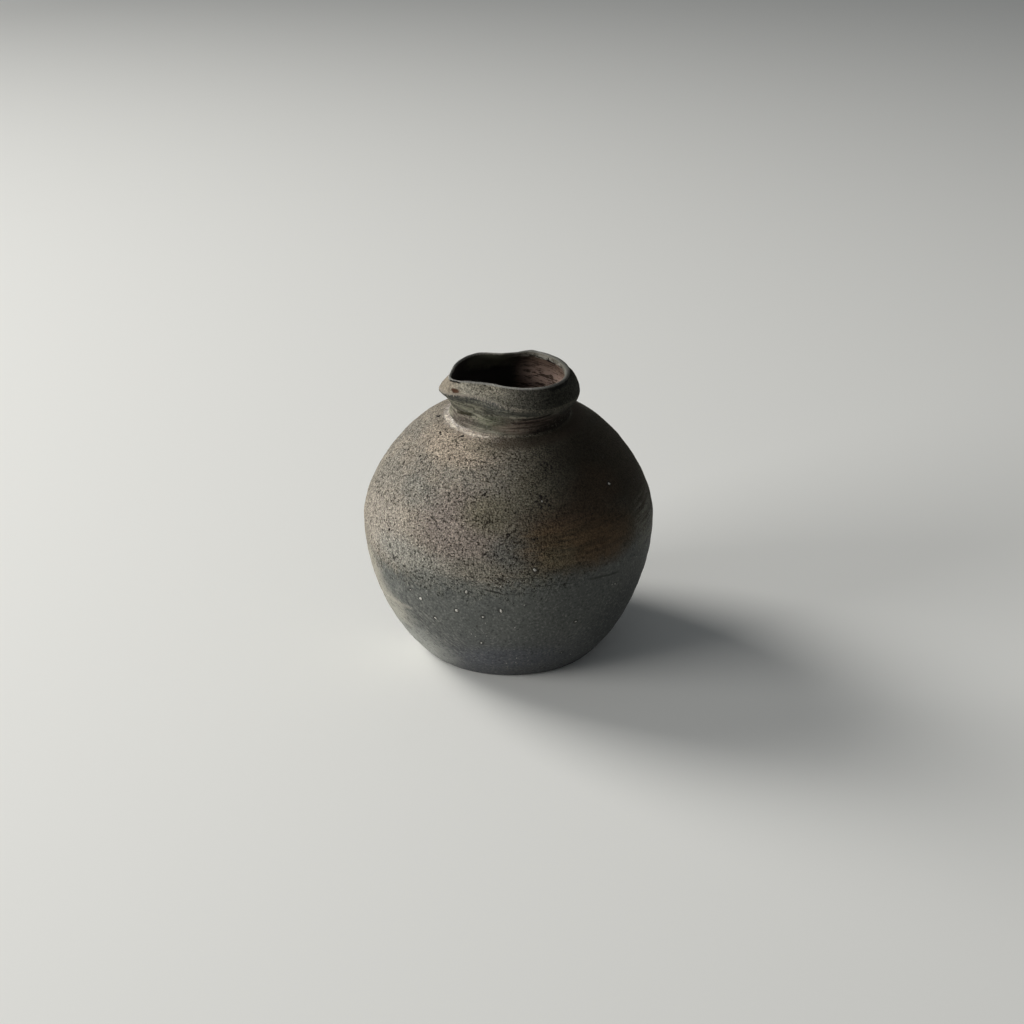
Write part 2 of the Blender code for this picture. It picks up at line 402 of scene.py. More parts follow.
def on_wall(angle, height):
    """The point of the outer wall at an angle round the jar, in degrees, and a height in metres."""
    outward = Vector((math.cos(math.radians(angle)), math.sin(math.radians(angle)), 0.0))
    return wall_tree.ray_cast(outward * 0.1 + Vector((0.0, 0.0, height)), -outward)[0]


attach(wall, "root")
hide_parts("jar_wall")


# The clay's finish
# Unglazed stoneware from a wood kiln. The lower body is dense, wiped and blue-grey; above the belly line a
# sandy crust of ash has stuck, warm on the fire side at the left and brown-black on the lee side, which is
# partly painted shade on the side away from the window.
def mingle(tree, share, first, second, blend_type="MIX"):
    """Mixes the second colour into the first by a share."""
    made = put(tree, "ShaderNodeMix", {0: share}, data_type="RGBA", blend_type=blend_type)
    for key, colour in (("A", first), ("B", second)):
        socket = [entry for entry in made.inputs if entry.name == key and entry.type == "RGBA"][0]
        if isinstance(colour, bpy.types.NodeSocket):
            tree.links.new(colour, socket)
        else:
            socket.default_value = (*colour, 1.0)
    return made.outputs[2]


def clouds(tree, place, scale, detail=2.0, roughness=0.5, stretch=(1.0, 1.0, 1.0), turn=0.0):
    """Noise from 0 to 1 with features about 1 / scale long, times the stretch along each turned axis."""
    moved = put(tree, "ShaderNodeMapping", {"Vector": place, "Scale": stretch,
                                            "Rotation": (0.0, math.radians(turn), 0.0)},
                vector_type="TEXTURE")
    made = put(tree, "ShaderNodeTexNoise", {"Vector": moved.outputs[0], "Scale": scale, "Detail": detail,
                                            "Roughness": roughness})
    return made.outputs[0]


def new_group(name, takes, gives):
    """An empty shader group with the named sockets; takes and gives list (name, kind)."""
    group = bpy.data.node_groups.new(name, "ShaderNodeTree")
    for label, kind in takes:
        group.interface.new_socket(name=label, in_out="INPUT", socket_type="NodeSocket" + kind)
    for label, kind in gives:
        group.interface.new_socket(name=label, in_out="OUTPUT", socket_type="NodeSocket" + kind)
    return group, group.nodes.new("NodeGroupInput").outputs, group.nodes.new("NodeGroupOutput").inputs


def vectors(tree, operation, first, second, result=0):
    """One step of arithmetic between places or directions."""
    return put(tree, "ShaderNodeVectorMath", {0: first, 1: second}, operation=operation).outputs[result]


# A soft patch of colour on the wall, with a ragged edge: 1 at its centre and 0 past its reach.
soft_patch, taken, given = new_group("soft_patch", (("Place", "Vector"), ("Centre", "Vector"),
                                                    ("Reach", "Vector"), ("Ragged", "Float")),
                                     (("Mask", "Float"),))
away = vectors(soft_patch, "SUBTRACT", taken["Place"], taken["Centre"])
shared = vectors(soft_patch, "DIVIDE", away, taken["Reach"])
length = put(soft_patch, "ShaderNodeVectorMath", {0: shared}, operation="LENGTH").outputs["Value"]
wander = work(soft_patch, "SUBTRACT", clouds(soft_patch, taken["Place"], 160.0, 5.0, 0.7), 0.5)
frayed = work(soft_patch, "MULTIPLY_ADD", wander, taken["Ragged"], length)
soft_patch.links.new(ramp(soft_patch, frayed, 0.35, 1.05, 1.0, 0.0), given["Mask"])

# Coarse kiln ash: pale grains about half a millimetre across with finer dust on them, and dark pores between
# them that gather in clusters.
ash_grain, taken, given = new_group("ash_grain", (("Place", "Vector"), ("Size", "Float")),
                                    (("Light", "Float"), ("Pores", "Float"), ("Height", "Float")))
fineness = work(ash_grain, "DIVIDE", 1.0, taken["Size"])


def ash_clouds(share, detail, roughness):
    """Noise inside the ash group, at a share of the grains' fineness."""
    scale = work(ash_grain, "MULTIPLY", fineness, share)
    made = put(ash_grain, "ShaderNodeTexNoise", {"Vector": taken["Place"], "Scale": scale, "Detail": detail,
                                                 "Roughness": roughness})
    return made.outputs[0]


tone_light, bead_light, dust_light = 0.30, 0.32, 0.38
bead_height, dust_height, pore_height = 0.38, 0.35, -1.2
pore_gathering = 0.24
pore_darkness = 0.86
cells = put(ash_grain, "ShaderNodeTexVoronoi", {"Vector": taken["Place"], "Scale": fineness,
                                                "Randomness": 1.0}, feature="F1")
mottle = ash_clouds(0.60, 4.0, 0.75)
gather = ash_clouds(0.10, 3.0, 0.6)
mottle = work(ash_grain, "MULTIPLY_ADD", work(ash_grain, "SUBTRACT", gather, 0.5), pore_gathering, mottle)
tone = put(ash_grain, "ShaderNodeSeparateColor", {0: cells.outputs["Color"]}).outputs[0]
bead = ramp(ash_grain, cells.outputs["Distance"], 0.15, 0.75, 1.0, 0.0)
dust = ramp(ash_grain, ash_clouds(0.95, 3.0, 0.7), 0.36, 0.64)
dusted = work(ash_grain, "MULTIPLY_ADD", dust, dust_light, work(ash_grain, "MULTIPLY", tone, tone_light))
ash_grain.links.new(work(ash_grain, "MULTIPLY_ADD", bead, bead_light, dusted), given["Light"])
ash_grain.links.new(ramp(ash_grain, mottle, 0.55, 0.65, 0.0, pore_darkness), given["Pores"])
dent = work(ash_grain, "MULTIPLY", ramp(ash_grain, mottle, 0.54, 0.70), pore_height)
dent = work(ash_grain, "MULTIPLY_ADD", dust, dust_height, dent)
ash_grain.links.new(work(ash_grain, "MULTIPLY_ADD", bead, bead_height, dent), given["Height"])

# A fine line on the wall between two places, given by arc length round the jar and height: a wrinkle, a
# crack or a wiped edge. It wavers a little and fades towards its ends.
waver_height = 0.0012
hairline, taken, given = new_group("hairline", (("Place", "Vector"), ("Radius", "Float"), ("Start", "Vector"),
                                                ("End", "Vector"), ("Width", "Float")), (("Mask", "Float"),))
apart = put(hairline, "ShaderNodeSeparateXYZ", {0: taken["Place"]}).outputs
bearing = work(hairline, "ARCTAN2", apart["Y"], apart["X"])
waver = work(hairline, "SUBTRACT", clouds(hairline, taken["Place"], 330.0, 3.0, 0.6), 0.5)
flat = put(hairline, "ShaderNodeCombineXYZ", {
    0: work(hairline, "MULTIPLY", bearing, taken["Radius"]),
    1: work(hairline, "MULTIPLY_ADD", waver, waver_height, apart["Z"])}).outputs[0]
along = vectors(hairline, "SUBTRACT", taken["End"], taken["Start"])
gone = vectors(hairline, "SUBTRACT", flat, taken["Start"])
part_way = vectors(hairline, "DOT_PRODUCT", gone, along, "Value")
whole = vectors(hairline, "DOT_PRODUCT", along, along, "Value")
share = put(hairline, "ShaderNodeClamp", {0: work(hairline, "DIVIDE", part_way, whole)}).outputs[0]
nearest = put(hairline, "ShaderNodeVectorMath", {0: along, "Scale": share}, operation="SCALE").outputs[0]
aside = vectors(hairline, "DISTANCE", gone, nearest, "Value")
core = ramp(hairline, work(hairline, "DIVIDE", aside, taken["Width"]), 0.30, 1.0, 1.0, 0.0)
ends = work(hairline, "MULTIPLY", ramp(hairline, share, 0.0, 0.2), ramp(hairline, share, 0.8, 1.0, 1.0, 0.0))
hairline.links.new(work(hairline, "MULTIPLY", core, ends), given["Mask"])

clay, fired, clay_shader = new_finish("fired_clay")
place = put(fired, "ShaderNodeTexCoord", {}).outputs["Object"]
split = put(fired, "ShaderNodeSeparateXYZ", {"Vector": place}).outputs
across, height = split["X"], split["Z"]
ring = put(fired, "ShaderNodeAttribute", {}, attribute_name="ring").outputs["Fac"]


def both(first, second):
    """The product of two masks, or of a mask and its strength."""
    return work(fired, "MULTIPLY", first, second)


def plus(base, mask, weight):
    """A value with a weighted mask added."""
    return work(fired, "MULTIPLY_ADD", mask, weight, base)


def patch(angle, height_there, reach_round, reach_up, strength=1.0, ragged=0.5):
    """The mask of a soft patch whose centre lies on the wall at an angle and height."""
    made = fired.nodes.new("ShaderNodeGroup")
    made.node_tree = soft_patch
    fired.links.new(place, made.inputs["Place"])
    made.inputs["Centre"].default_value = on_wall(angle, height_there)
    made.inputs["Reach"].default_value = (reach_round, reach_round, reach_up)
    made.inputs["Ragged"].default_value = ragged
    return both(made.outputs["Mask"], strength)


def line(start, end, radius, width, strength=1.0):
    """The mask of a hairline from one (angle, height) to another on a part of the wall of that radius."""
    made = fired.nodes.new("ShaderNodeGroup")
    made.node_tree = hairline
    fired.links.new(place, made.inputs["Place"])
    made.inputs["Radius"].default_value = radius
    made.inputs["Start"].default_value = (math.radians(start[0]) * radius, start[1], 0.0)
    made.inputs["End"].default_value = (math.radians(end[0]) * radius, end[1], 0.0)
    made.inputs["Width"].default_value = width
    return both(made.outputs["Mask"], strength)


def between(low, rise, fall, high, counted=ring):
    """The mask of a band of the wall between two rings, counted like the marks above, with soft edges."""
    return both(ramp(fired, counted, low, rise), ramp(fired, counted, fall, high, 1.0, 0.0))


def tinted(base, *layers):
    """Lays colours over a base, one after another; each layer is a mask and a colour."""
    for mask, colour in layers:
        base = mingle(fired, mask, base, colour)
    return base


# The smooth lower body, with slanting scratches, a cream cast low on the left, painted shade low on the right
# and fine wrinkles.
scratch_slant = 44.0
foot_clay, belly_clay, cream = (0.080, 0.083, 0.088), (0.086, 0.090, 0.084), (0.300, 0.306, 0.282)
broad = clouds(fired, place, 38.0, 3.0, 0.55)
speckle = clouds(fired, place, 1000.0, 3.0, 0.65)
unrest = work(fired, "SUBTRACT", clouds(fired, place, 260.0, 5.0, 0.75), 0.5)
scratches = clouds(fired, place, 1500.0, 3.0, 0.7, (5.0, 5.0, 1.0), scratch_slant)
low_left = patch(-138.0, 0.023, 0.034, 0.026)
skin = mingle(fired, ramp(fired, height, 0.004, 0.034), foot_clay, belly_clay)
skin = tinted(
    skin,
    (patch(-148.0, 0.012, 0.028, 0.018), cream),
    (ramp(fired, broad, 0.35, 0.70, 0.0, 0.30), (0.122, 0.124, 0.112)),
    # Painted shade: the clay low on the right darker, on the side away from the window.
    (patch(-31.0, 0.022, 0.028, 0.028, 0.85, 0.3), (0.050, 0.053, 0.052)),
    (patch(-163.0, 0.034, 0.018, 0.022, 0.80), (0.290, 0.270, 0.224)),
    (patch(-148.0, 0.0262, 0.015, 0.011, 0.80), (0.320, 0.308, 0.260)),
    (patch(-90.0, 0.014, 0.026, 0.009, 0.5), (0.076, 0.080, 0.096)),
    (both(ramp(fired, scratches, 0.52, 0.64, 0.0, 0.8), low_left), (0.190, 0.188, 0.168)),
    (both(ramp(fired, scratches, 0.46, 0.34, 0.0, 0.8), low_left), (0.050, 0.051, 0.048)),
    (ramp(fired, speckle, 0.53, 0.68, 0.0, 0.58), (0.024, 0.025, 0.025)),
    (ramp(fired, speckle, 0.47, 0.33, 0.0, 0.50), (0.205, 0.205, 0.190)),
    (line((-158.0, 0.0298), (-131.0, 0.0322), 0.0545, 0.0011, 0.45), (0.310, 0.290, 0.245)))

# The ash crust above the belly line: sandy and warm at the left, with purple, grey, ochre and olive tints,
# and browner and darker towards the right, partly where the fire did not reach and partly as painted shade
# on the side away from the window.
cool_ash, warm_ash, lee_ash_and_shade = (0.172, 0.160, 0.139), (0.209, 0.188, 0.158), (0.084, 0.078, 0.062)
tints = clouds(fired, place, 70.0, 4.0, 0.65)
crust = mingle(fired, ramp(fired, tints, 0.38, 0.62), cool_ash, warm_ash)
crust = tinted(
    crust,
    (patch(-110.0, 0.071, 0.026, 0.018, 0.65), (0.182, 0.153, 0.140)),
    (patch(-152.0, 0.062, 0.024, 0.018, 0.65), (0.246, 0.224, 0.195)),
    (patch(-133.0, 0.056, 0.026, 0.008, 0.70), (0.200, 0.199, 0.181)),
    (patch(-137.0, 0.078, 0.014, 0.007, 0.45, 1.0), (0.150, 0.152, 0.140)),
    (patch(-103.0, 0.0580, 0.013, 0.005, 0.70), (0.140, 0.132, 0.112)),
    (patch(-98.0, 0.0765, 0.015, 0.009, 0.80), (0.138, 0.127, 0.092)),
    (patch(-128.0, 0.0935, 0.026, 0.007, 0.85), (0.290, 0.246, 0.198)),
    (patch(-106.0, 0.0944, 0.011, 0.0026, 0.65), (0.150, 0.134, 0.104)),
    # Partly the lee of the fire and partly painted shade: browner and darker towards the right.
    (ramp(fired, across, -0.015, 0.015), lee_ash_and_shade),
    (patch(-116.0, 0.0490, 0.026, 0.0060, 0.70), (0.118, 0.124, 0.117)),
    (patch(-88.0, 0.0640, 0.013, 0.008, 0.75), (0.090, 0.092, 0.087)),
    (patch(-78.0, 0.0830, 0.012, 0.009, 0.50), (0.128, 0.118, 0.090)))

ash_grain_size = 0.00060
border_height, border_slope = 0.0535, 0.105
border_fraying, sand_fraying = 0.014, 0.032
grain = fired.nodes.new("ShaderNodeGroup")
grain.node_tree = ash_grain
fired.links.new(place, grain.inputs["Place"])
grain.inputs["Size"].default_value = ash_grain_size
border = work(fired, "SUBTRACT", height, work(fired, "MULTIPLY_ADD", across, border_slope, border_height))
on_ash = ramp(fired, plus(border, unrest, border_fraying), -0.006, 0.005)
sandy = ramp(fired, plus(border, unrest, sand_fraying), -0.011, 0.001)
surface = mingle(fired, on_ash, skin, crust)

# The lee side: brown-black on the shoulder, partly its own colour and partly painted shade, and rust in
# level streaks along the belly. Over it all lies the ash's light and dark grain, strongest in front.
low_rust, high_rust, lee_black_and_shade = (0.132, 0.090, 0.052), (0.072, 0.048, 0.033), (0.026, 0.022, 0.016)
grain_shade, grain_shine, pore_black = (0.10, 0.10, 0.12), (2.68, 2.63, 2.48), (0.014, 0.012, 0.010)
streaks = clouds(fired, place, 620.0, 4.0, 0.65, (12.0, 12.0, 1.0))
rust = mingle(fired, ramp(fired, height, 0.066, 0.076), low_rust, high_rust)
rust = tinted(rust, (ramp(fired, streaks, 0.54, 0.42, 0.0, 0.75), (0.056, 0.042, 0.027)))
surface = tinted(
    surface,
    (patch(-62.0, 0.0680, 0.030, 0.0165, 0.90, 0.4), rust),
    (patch(-47.0, 0.0640, 0.020, 0.013, 0.70, 0.4), mingle(fired, 0.55, rust, (0.070, 0.044, 0.028))),
    (patch(-70.0, 0.0610, 0.009, 0.0065, 0.50, 0.6), (0.120, 0.104, 0.070)),
    # Nearly black at the right shoulder: partly its own colour and partly painted shade.
    (patch(-18.0, 0.085, 0.046, 0.029, 0.98, 0.35), lee_black_and_shade),
    (both(ramp(fired, streaks, 0.42, 0.58), patch(-17.0, 0.059, 0.017, 0.013, 0.85, 0.8)),
     (0.150, 0.148, 0.125)),
    (patch(-46.0, 0.080, 0.018, 0.010, 0.45), (0.056, 0.038, 0.025)))
coarse = both(sandy, ramp(fired, across, -0.046, -0.006, 0.80, 1.0))
coarse = both(coarse, ramp(fired, across, 0.008, 0.026, 1.0, 0.45))
grain_light = mingle(fired, grain.outputs["Light"], grain_shade, grain_shine)
surface = mingle(fired, coarse, surface, grain_light, "MULTIPLY")
surface = tinted(surface, (both(coarse, grain.outputs["Pores"]), pore_black),
                 (patch(-75.0, 0.0800, 0.0030, 0.0030, 0.40, 2.2), (0.010, 0.008, 0.007)))
# Painted shade: dark lines in the wiped groove and the fine wrinkles along the crust's edge.
wrinkle_shade = (0.026, 0.026, 0.023)
for fold in (line((-60.0, 0.0498), (-41.0, 0.0472), 0.057, 0.0007, 0.60),
             line((-101.0, 0.0500), (-90.5, 0.0476), 0.057, 0.0005, 0.75),
             line((-92.0, 0.0477), (-80.0, 0.0482), 0.057, 0.0004, 0.50),
             line((-104.0, 0.0546), (-80.0, 0.0542), 0.057, 0.0004, 0.25),
             line((-84.0, 0.0512), (-64.0, 0.0500), 0.057, 0.0004, 0.50)):
    surface = tinted(surface, (fold, wrinkle_shade))

# A dark rim round each white grain.
rim_start, rim_end, rim_strength = 1.15, 1.75, 0.60
rim_dark = (0.030, 0.029, 0.026)
for rimmed, (middle, reach) in lumps.items():
    if rimmed.startswith("feldspar"):
        out = vectors(fired, "DISTANCE", place, middle, "Value")
        rim = ramp(fired, out, reach * rim_start, reach * rim_end, rim_strength, 0.0)
        surface = tinted(surface, (rim, rim_dark))

# The neck: level streaks, grey-green in front, reddish towards the right, with painted shade in its grooves,
# in the crease and at the right, black-blue and mottled painted shade under the fold, and an olive hollow
# pressed in at the left. Its colours reach up over the fold's edge in front.
front_reach_up = 0.7
neck_strength = 0.92
raised = plus(ring, patch(-112.0, 0.1060, 0.040, 0.012, 1.0, 0.1), front_reach_up)
# Painted shade on the shoulder just below the crease, from the front towards the right.
shade_below_crease = both(between(31.7, 32.1, 32.9, 33.8), ramp(fired, across, -0.012, -0.002, 0.0, 0.75))
surface = tinted(surface, (shade_below_crease, (0.048, 0.037, 0.027)))
neck_zone = between(25.3, 25.9, 31.0, 31.8, raised)
streak_mask = ramp(fired, clouds(fired, place, 900.0, 4.0, 0.7, (12.0, 12.0, 1.0)), 0.40, 0.60)


def streaked(dark, light):
    """Level streaks of two colours."""
    return mingle(fired, streak_mask, dark, light)


neck = tinted(
    streaked((0.062, 0.061, 0.047), (0.205, 0.199, 0.150)),
    (patch(-148.0, 0.0990, 0.012, 0.0035, 0.8), streaked((0.060, 0.048, 0.040), (0.150, 0.124, 0.104))),
    (patch(-104.0, 0.1012, 0.009, 0.0035, 0.75), streaked((0.056, 0.062, 0.041), (0.160, 0.166, 0.110))),
    (patch(-62.0, 0.1010, 0.018, 0.0060, 1.0, 0.4), streaked((0.046, 0.030, 0.025), (0.165, 0.116, 0.094))),
    (patch(-78.0, 0.0996, 0.013, 0.0026, 0.80, 0.8), (0.215, 0.172, 0.136)),
    (patch(-116.0, 0.0976, 0.009, 0.0018, 0.60, 1.2), (0.270, 0.250, 0.200)),
    # Painted shade: dark in the crease at the front right, and partly on the neck's right side.
    (patch(-50.0, 0.0972, 0.016, 0.0024, 0.9), (0.013, 0.008, 0.007)),
    (patch(-20.0, 0.101, 0.023, 0.010, 0.96, 0.2), (0.018, 0.014, 0.011)),
    (ramp(fired, speckle, 0.46, 0.34, 0.0, 0.40), (0.190, 0.182, 0.150)),
    (ramp(fired, speckle, 0.54, 0.68, 0.0, 0.70), (0.018, 0.017, 0.014)))
# Painted shade under the fold's roll, strongest at the left and mottled.
shade_under_fold = both(between(24.6, 25.0, 26.6, 27.6, raised), ramp(fired, across, -0.008, 0.004, 1.0, 0.3))
shade_under_fold = both(shade_under_fold, ramp(fired, speckle, 0.60, 0.42, 0.90, 0.30))
surface = tinted(
    surface,
    (both(neck_zone, neck_strength), neck),
    (shade_under_fold, (0.052, 0.055, 0.054)),
    # Painted shade: a dark line under the roll of the fold.
    (line((-128.0, 0.1044), (-58.0, 0.1070), 0.024, 0.0015, 0.75), (0.034, 0.034, 0.029)),
    (line((-160.0, 0.1003), (-131.0, 0.1022), 0.021, 0.0009, 0.9), (0.026, 0.024, 0.014)),
    (line((-158.0, 0.1024), (-134.0, 0.1039), 0.021, 0.0008, 0.6), (0.130, 0.126, 0.092)))
# Painted shade: dark lines in the turning grooves of the neck, in front and towards the right.
groove_shade = (0.012, 0.009, 0.008)
for shade in (line((-84.0, 0.1036), (-50.0, 0.1056), 0.025, 0.0007, 0.85),
              line((-92.0, 0.1020), (-46.0, 0.1030), 0.024, 0.0005, 0.70),
              line((-96.0, 0.1002), (-42.0, 0.0996), 0.023, 0.0005, 0.60)):
    surface = tinted(surface, (shade, groove_shade))

# The collar: pale and sandy at the left, darker towards the right, partly its own colour and partly painted
# shade, with a painted highlight along the fold, a reddish scar and a slit beside the drawn-out corner, and a
# worn grey lip, darker at the right as painted shade, with a dark crack outside it.
corner_tip, corner_sand = (0.215, 0.188, 0.148), (0.315, 0.298, 0.248)
collar_strength = 0.92
collar = tinted(
    mingle(fired, ramp(fired, across, -0.0235, -0.0165), corner_tip, corner_sand),
    # Darker towards the right: partly the clay's own colour and partly painted shade.
    (ramp(fired, across, -0.0170, -0.0050), (0.092, 0.088, 0.073)),
    (ramp(fired, across, -0.003, 0.008), (0.048, 0.046, 0.039)),
    (ramp(fired, across, 0.006, 0.018), (0.026, 0.026, 0.021)),
    (patch(-119.0, 0.1122, 0.010, 0.0022, 0.60), (0.215, 0.198, 0.160)),
    (patch(-80.0, 0.1087, 0.008, 0.0014, 0.45), (0.050, 0.050, 0.043)))
flecked = mingle(fired, grain.outputs["Light"], (0.20, 0.20, 0.21), (2.34, 2.31, 2.21))
collar = mingle(fired, ramp(fired, across, -0.022, -0.004, 0.55, 1.0), collar, flecked, "MULTIPLY")
pitted = both(grain.outputs["Pores"], ramp(fired, across, -0.020, -0.002, 0.14, 0.80))
collar = tinted(collar, (pitted, (0.016, 0.015, 0.013)))
# A painted highlight: the pale line where the fold's edge catches the window.
fold_highlight = both(between(23.8, 24.2, 24.6, 25.0, raised), patch(-156.0, 0.1075, 0.0165, 0.006, 0.80, 0.9))
crest_dark, crest_light, crest_shade = (0.130, 0.128, 0.116), (0.450, 0.440, 0.405), (0.068, 0.067, 0.058)
# The worn crest, darker towards the right as painted shade.
crest = tinted(mingle(fired, speckle, crest_dark, crest_light),
               (ramp(fired, across, 0.006, 0.020, 0.0, 0.72), crest_shade))
surface = tinted(
    surface,
    (both(between(19.8, 20.4, 24.5, 24.9, raised), collar_strength), collar),
    (fold_highlight, (0.240, 0.212, 0.176)),
    (patch(-155.0, 0.1098, 0.0028, 0.0011, 1.0, 2.2), (0.080, 0.042, 0.026)),
    (both(between(18.2, 18.5, 19.9, 20.4), 0.9), crest))
outer_side = ramp(fired, ring, 19.2, 19.6)
crack_dark = (0.006, 0.006, 0.005)
for crack in (line((-165.0, 0.1129), (-150.0, 0.1133), 0.022, 0.0005),
              line((-54.0, 0.1131), (2.0, 0.1134), 0.0225, 0.0007)):
    surface = tinted(surface, (both(crack, outer_side), crack_dark))

# The inside: reddish brown and wrinkled towards the right, black towards the left as painted shade, with an
# olive breath, and a pale band under the lip at the right with a broken crack below it.
low_lining, high_lining, shaded_lining = (0.300, 0.218, 0.178), (0.110, 0.076, 0.058), (0.014, 0.012, 0.011)
band_fraying = 0.0022
inner_crack_dark = (0.005, 0.004, 0.004)
wrinkles = clouds(fired, place, 850.0, 4.0, 0.75, (6.0, 6.0, 1.0))
band = mingle(fired, ramp(fired, unrest, -0.08, 0.08), (0.062, 0.056, 0.046), (0.205, 0.196, 0.168))
band_here = both(ramp(fired, plus(height, unrest, band_fraying), 0.1119, 0.1123),
                 ramp(fired, across, -0.004, 0.012))
lining = tinted(
    mingle(fired, ramp(fired, height, 0.1035, 0.1110), low_lining, high_lining),
    (ramp(fired, wrinkles, 0.52, 0.43, 0.0, 0.92), (0.036, 0.024, 0.018)),
    # Painted shade: black towards the left, where the window's light does not reach inside.
    (ramp(fired, across, 0.000, 0.012, 1.0, 0.0), shaded_lining),
    (patch(112.0, 0.1112, 0.014, 0.0052, 0.80, 0.8), (0.088, 0.088, 0.064)),
    (band_here, band))
for crack in (line((70.0, 0.1126), (49.0, 0.1121), 0.0213, 0.0004, 0.85),
              line((48.0, 0.1121), (31.0, 0.1118), 0.0213, 0.0006),
              line((27.0, 0.1123), (14.0, 0.1127), 0.0213, 0.0004, 0.9),
              line((44.0, 0.1134), (42.5, 0.1119), 0.0213, 0.0004)):
    lining = tinted(lining, (crack, inner_crack_dark))
surface = tinted(surface, (ramp(fired, ring, 18.0, 18.4, 1.0, 0.0), lining))

# Melted ash along the crease, pinkish and partly a painted sheen, with painted glints and painted highlight
# lines; the wiped body is satin and the crust is dry.
melt_and_sheen_tint, glint_tint, highlight_tint = (0.300, 0.242, 0.198), (0.500, 0.440, 0.370), (0.820, 0.740, 0.620)
melt_and_sheen_strength = 0.40
glints = ramp(fired, clouds(fired, place, 1500.0, 3.0, 0.7, (2.0, 2.0, 1.0)), 0.48, 0.57)
wavy = plus(plus(ring, unrest, 2.0), work(fired, "SUBTRACT", speckle, 0.5), 2.2)
melt = both(between(31.0, 31.5, 32.1, 32.7, wavy), patch(-156.0, 0.0972, 0.027, 0.007, 1.0, 0.4))
finished = tinted(surface, (both(melt, melt_and_sheen_strength), melt_and_sheen_tint), (both(melt, glints), glint_tint))
narrow = between(31.75, 31.95, 32.15, 32.45, plus(ring, unrest, 0.9))
narrow = both(narrow, ramp(fired, glints, 0.0, 0.7, 0.30, 1.0))
# Painted highlights: bright lines where the crease's glassy bead catches the window.
for bead in (line((-180.0, 0.0968), (-140.0, 0.0961), 0.0245, 0.0020),
             line((-156.0, 0.0963), (-122.0, 0.0957), 0.0255, 0.0020, 0.75),
             line((-134.0, 0.0957), (-106.0, 0.0963), 0.0255, 0.0020, 0.90)):
    finished = tinted(finished, (both(bead, narrow), highlight_tint))

satin, crust_dryness = 0.62, 0.22
melt_gloss, melt_gloss_roughness = 0.6, 0.28
clay_shine = 0.05
fired.links.new(finished, clay_shader.inputs["Base Color"])
fired.links.new(work(fired, "MULTIPLY_ADD", on_ash, crust_dryness, satin), clay_shader.inputs["Roughness"])
fired.links.new(both(melt, melt_gloss), clay_shader.inputs["Coat Weight"])
clay_shader.inputs["Coat Roughness"].default_value = melt_gloss_roughness
clay_shader.inputs["Specular IOR Level"].default_value = clay_shine

# The grain that is too fine for the mesh, as a relief. Its pores, the deepest, sink about half a millimetre.
relief_depth = 0.00042
speckle_relief, scratch_relief, streak_relief = 0.35, 0.9, 1.2
outside = ramp(fired, ring, 18.0, 19.0)
relief = both(both(grain.outputs["Height"], sandy), outside)
relief = both(relief, ramp(fired, neck_zone, 0.0, 1.0, 1.0, 0.35))
relief = plus(relief, speckle, speckle_relief)
relief = plus(relief, both(scratches, low_left), scratch_relief)
relief = plus(relief, streak_mask, both(neck_zone, streak_relief))
relief = plus(relief, glints, melt)
bumps = put(fired, "ShaderNodeBump", {"Height": relief, "Distance": relief_depth, "Strength": 1.0})
fired.links.new(bumps.outputs[0], clay_shader.inputs["Normal"])
wall.data.materials.append(clay)


# The feldspar grains
# Twelve crumbs of white feldspar in the clay, half melted in the firing and bedded flush in the wall. Each
# stands where its solid is, a little smaller than its pocket, with a rough and dirty skin.
feldspar, white, feldspar_shader = new_finish("feldspar")
here = put(white, "ShaderNodeTexCoord", {}).outputs["Object"]
blotch = clouds(white, here, 900.0, 3.0, 0.6)
fleck = clouds(white, here, 2600.0, 2.0, 0.6)
milky = mingle(white, ramp(white, blotch, 0.42, 0.66), (0.54, 0.52, 0.47), (0.26, 0.25, 0.22))
milky = mingle(white, ramp(white, fleck, 0.56, 0.68, 0.0, 0.7), milky, (0.09, 0.085, 0.075))
white.links.new(milky, feldspar_shader.inputs["Base Color"])
white.links.new(ramp(white, blotch, 0.35, 0.65, 0.38, 0.62), feldspar_shader.inputs["Roughness"])
feldspar_shader.inputs["Specular IOR Level"].default_value = 0.4
white_bumps = put(white, "ShaderNodeBump", {"Height": fleck, "Distance": 0.0001, "Strength": 0.7})
white.links.new(white_bumps.outputs[0], feldspar_shader.inputs["Normal"])

# How fine a crumb's knocks are. Its slant in the wall, in radians, follows from its height and looks random.
knock_scale, fine_knock_scale = 1100.0, 2600.0
widest_lie = 2.4
lie_spread = 9e3


def crumb(name, node, shrink, sink, roughness, finish, drawn=1.0):
    """A rough crumb made from a grain's or cinder's solid: smoothed, shrunk, sunk, drawn out and knocked."""
    middle = lumps[node][0]
    piece = copy_of_solid(name, node)
    bpy.ops.object.mode_set(mode="OBJECT")
    round_off(piece)
    outward = Vector((middle.x, middle.y, 0.0)).normalized()
    lie = Matrix.Rotation(widest_lie * math.sin(lie_spread * middle.z), 3, outward)
    lengthways = lie @ Vector((0.0, 0.0, 1.0))
    for point in piece.data.vertices:
        knock = 1.0 + roughness * noise.noise(point.co * knock_scale)
        knock += 0.5 * roughness * noise.noise(point.co * fine_knock_scale)
        spread = point.co - middle
        spread += lengthways * spread.dot(lengthways) * (drawn - 1.0)
        point.co = middle - outward * sink + spread * (shrink * knock)
    shade_smooth(piece)
    piece.data.materials.append(finish)
    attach(piece, "root")
    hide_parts(node)
    return piece


smallest_grain, grain_range = 0.86, 0.16
for number in range(1, 13):
    fullness = smallest_grain + grain_range * ((number * 7) % 5) / 4
    grain_piece = crumb(f"melted_feldspar_{number:02d}", f"feldspar_grain_{number:02d}", shrink=fullness,
                        sink=0.00008, roughness=0.45, finish=feldspar, drawn=1.45)


